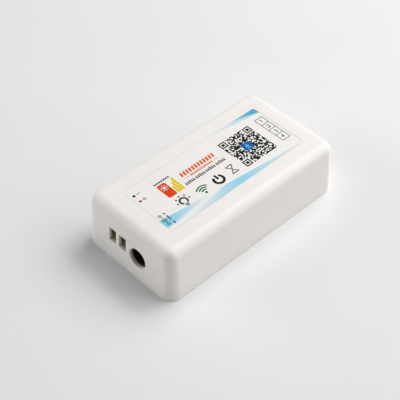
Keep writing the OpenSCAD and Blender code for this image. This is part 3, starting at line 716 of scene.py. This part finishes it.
# The square of random cells: its lower left corner, its side and its cells
CODE_CORNER = Vector((8.9, -8.15))
CODE_SIDE = 15.6
CODE_CELLS = 30
CODE_CELL = CODE_SIDE / CODE_CELLS
CODE_SEED = 11
DARK_SHARE = 0.66
# What each row of cells leaves free above and below, so that rows have no common face
ROW_GAP = 0.004
# Cells kept clear in three corners for the ringed squares, and about the blue tile
RINGED_CELLS = 7
TILE_CELLS = 4


def code_cell(row, column, draw):
    """Whether a cell of the code is dark. The cells are drawn at random and say nothing."""
    last = CODE_CELLS - 1
    for corner_row, corner_column in ((0, 0), (last, 0), (last, last)):
        if max(abs(row - corner_row), abs(column - corner_column)) < RINGED_CELLS:
            return False
    middle = last / 2
    if max(abs(row - middle), abs(column - middle)) < TILE_CELLS:
        return False
    return draw < DARK_SHARE


def random_cells(code):
    """Each run of dark cells in a row becomes one rectangle."""
    chance = random.Random(CODE_SEED)
    dark = [[code_cell(row, column, chance.random()) for column in range(CODE_CELLS)]
        for row in range(CODE_CELLS)]
    for row, cells in enumerate(dark):
        start = None
        for column, is_dark in enumerate(cells + [False]):
            if is_dark and start is None:
                start = column
            elif not is_dark and start is not None:
                low = CODE_CORNER + Vector((start, row)) * CODE_CELL
                high = CODE_CORNER + Vector((column, row + 1)) * CODE_CELL
                code.rectangle(low.x, low.y + ROW_GAP, high.x, high.y - ROW_GAP)
                start = None


def ringed_squares(code):
    """A square ring with a square core in three corners of the code."""
    side, core, line = 3.1, 1.25, 0.52
    reach, core_reach = (side - line) / 2, core / 2
    square = [(-reach, -reach), (reach, -reach), (reach, reach), (-reach, reach)]
    for across, up in ((0, 0), (0, 1), (1, 1)):
        centre = CODE_CORNER + Vector((side, side)) / 2 + Vector((across, up)) * (CODE_SIDE - side)
        code.stroke([centre + Vector(p) for p in square], line, closed=True)
        code.rectangle(centre.x - core_reach, centre.y - core_reach, centre.x + core_reach,
            centre.y + core_reach)


def arrow_tile():
    """A blue tile in the middle of the code, with a pale arrow that points down at a bar."""
    half, corner = Vector((2.05, 2.05)), 0.8
    shaft, wing, top, shoulder, tip = 0.27, 1, 1.3, 0.2, -0.75
    bar_low, bar_high = -1.3, -0.95
    middle = CODE_CORNER + Vector((CODE_SIDE, CODE_SIDE)) / 2
    tile = Printing("print_blue_tile", BLUE)
    tile.fill(rounded(middle - half, middle + half, corner))
    tile.build()
    mark = Printing("print_tile_mark", PALE_BLUE, layer=1)
    arrow = [(-shaft, top), (-shaft, shoulder), (-wing, shoulder), (0, tip), (wing, shoulder),
        (shaft, shoulder), (shaft, top)]
    mark.fill([middle + Vector(p) for p in arrow])
    mark.rectangle(middle.x - wing, middle.y + bar_low, middle.x + wing, middle.y + bar_high)
    mark.build()


def square_code():
    """A square of random cells, with ringed squares in three corners and a tile in the middle."""
    code = Printing("print_code", BLACK)
    random_cells(code)
    ringed_squares(code)
    code.build()
    arrow_tile()


# Lines of each numeral, in a box of this width and height
NUMERAL_WIDTH = 1
NUMERAL_HEIGHT = 1.6
NUMERAL_LINE = 0.3
NUMERALS = {
    1: [[(0.15, 1.2), (0.55, 1.6), (0.55, 0)]],
    2: [arc(0.5, 1.12, 0.46, 165, -35, 12) + [(0.04, 0.05), (1, 0.05)]],
    3: [arc(0.48, 1.2, 0.38, 150, -80, 12), arc(0.48, 0.42, 0.44, 80, -150, 12)],
    4: [[(0.72, 0), (0.72, 1.55), (0.02, 0.48), (1, 0.48)]],
}


def way_table():
    """A table with a numbered cell for each of the four wire ways at the far end."""
    left, right, low, high, line = 28.45, 32.1, -7.25, 7.5, 0.26
    ways = len(NUMERALS)
    step = (high - low) / ways
    table = Printing("print_table", GREY)
    table.stroke([(left, low), (right, low), (right, high), (left, high)], line, closed=True)
    for i in range(1, ways):
        table.level(left + line / 2, right - line / 2, low + step * i, line)
    for i in range(ways):
        origin = Vector(((left + right - NUMERAL_WIDTH) / 2,
            high - step * (i + 0.5) - NUMERAL_HEIGHT / 2))
        for points in NUMERALS[i + 1]:
            table.stroke([origin + Vector(p) for p in points], NUMERAL_LINE)
    table.build()


# Stage: floor, lights, backdrop and camera

FLOOR_SIDE = 1.6
FLOOR_COLOUR = linear(236, 236, 236)
BACKDROP_COLOUR = linear(236, 236, 236)


def outward(azimuth, elevation):
    """The direction at an azimuth from +X and an elevation above the floor, in degrees."""
    turn, rise = math.radians(azimuth), math.radians(elevation)
    return Vector((math.cos(turn) * math.cos(rise), math.sin(turn) * math.cos(rise),
        math.sin(rise)))


def floor():
    """A plain pale sheet that the object stands on."""
    cloud_size, darker, lighter, roughness, gloss = 60 * MM, 0.99, 1.01, 0.9, 0.1
    data = bpy.data.meshes.new("floor")
    half = FLOOR_SIDE / 2
    data.from_pydata([(-half, -half, 0), (half, -half, 0), (half, half, 0), (-half, half, 0)],
        [], [(0, 1, 2, 3)])
    piece = bpy.data.objects.new("floor", data)
    bpy.context.scene.collection.objects.link(piece)
    material, tree, shader = surface("floor_paper")
    cloud = spread_to(tree, noise(tree, cloud_size, detail=2), 0, 1)
    tree.links.new(mixed(tree, cloud, scaled(FLOOR_COLOUR, darker), scaled(FLOOR_COLOUR, lighter)),
        shader.inputs["Base Color"])
    shader.inputs["Roughness"].default_value = roughness
    shader.inputs["Specular IOR Level"].default_value = gloss
    data.materials.append(material)


# How tall a softbox is, as a share of its distance
TALL_SHARE = 0.61
NEAR, NARROW = 0.9, 0.55
FAR, WIDE = 1.8, 3.2
# Softboxes: name, azimuth and elevation in degrees, power in watts, distance and width
LIGHTS = [
    ("key", 0, 50, 3.4, NEAR, NARROW),
    ("high_key", 0, 70, 2.6, NEAR, NARROW),
    ("window_side", 135, 18, 3.05, NEAR, NARROW),
    ("power_end", 180, 18, 0.5, NEAR, NARROW),
    ("long_side_low", 315, 18, 12.5, FAR, WIDE),
    ("long_side_high", 315, 45, 2.0, NEAR, NARROW),
]
LIGHT_AIM = Vector((0, 0, 10)) * MM


def softbox(name, azimuth, elevation, power, distance, width):
    """A soft rectangular lamp that faces the object."""
    data = bpy.data.lights.new(name, "AREA")
    data.shape = "RECTANGLE"
    data.size, data.size_y = width, distance * TALL_SHARE
    data.energy = power
    lamp = bpy.data.objects.new(name, data)
    bpy.context.scene.collection.objects.link(lamp)
    out = outward(azimuth, elevation)
    lamp.location = LIGHT_AIM + out * distance
    lamp.rotation_euler = out.to_track_quat("Z", "Y").to_euler()


# Strength of the world as light, while the camera and reflections see it at full strength
WORLD_GREY = 0.038


def world():
    """Pale backdrop for the camera and for reflections, and an even grey as light."""
    sky = bpy.data.worlds.new("studio")
    bpy.context.scene.world = sky
    sky.use_nodes = True
    tree = sky.node_tree
    ray = tree.nodes.new("ShaderNodeLightPath")
    seen = math_node(tree, "MAXIMUM", ray.outputs["Is Camera Ray"], ray.outputs["Is Glossy Ray"])
    seen = math_node(tree, "MAXIMUM", seen, ray.outputs["Is Transmission Ray"])
    background = tree.nodes["Background"]
    background.inputs["Color"].default_value = BACKDROP_COLOUR
    tree.links.new(spread_to(tree, seen, WORLD_GREY, 1.0, (0, 1)), background.inputs["Strength"])


# The view of the photograph: a long lens that looks down at the power end's corner.
# Azimuth, elevation and roll are in degrees, lens and sensor in millimetres.
CAMERA_AIM = Vector((-6.54, 0.387, 10)) * MM
CAMERA_DISTANCE = 385.1 * MM
CAMERA_AZIMUTH = -134.07
CAMERA_ELEVATION = 45.356
CAMERA_ROLL = 0.328
LENS = 95.46
SENSOR = 36
# The camera's range
NEAREST, FARTHEST = 0.01, 20


def camera():
    """The scene's camera, rolled a little about its line of sight."""
    data = bpy.data.cameras.new("camera")
    data.lens = LENS
    data.sensor_width = SENSOR
    data.clip_start, data.clip_end = NEAREST, FARTHEST
    eye = bpy.data.objects.new("camera", data)
    bpy.context.scene.collection.objects.link(eye)
    back = outward(CAMERA_AZIMUTH, CAMERA_ELEVATION)
    right = (-back).cross(Vector((0, 0, 1))).normalized()
    up = right.cross(-back)
    roll = towards(CAMERA_ROLL)
    turned_right = right * roll.x + up * roll.y
    turned_up = up * roll.x - right * roll.y
    pose = Matrix((turned_right, turned_up, back)).transposed().to_4x4()
    pose.translation = CAMERA_AIM + back * CAMERA_DISTANCE
    eye.matrix_world = pose
    bpy.context.scene.camera = eye


dress_cad_nodes()
round_rims()
polarity_dots()
socket_pictogram()
level_tile()
heading()
scale_line()
function_signs()
square_code()
way_table()
floor()
for light in LIGHTS:
    softbox(*light)
world()
camera()
bpy.context.scene.view_settings.view_transform = "Standard"
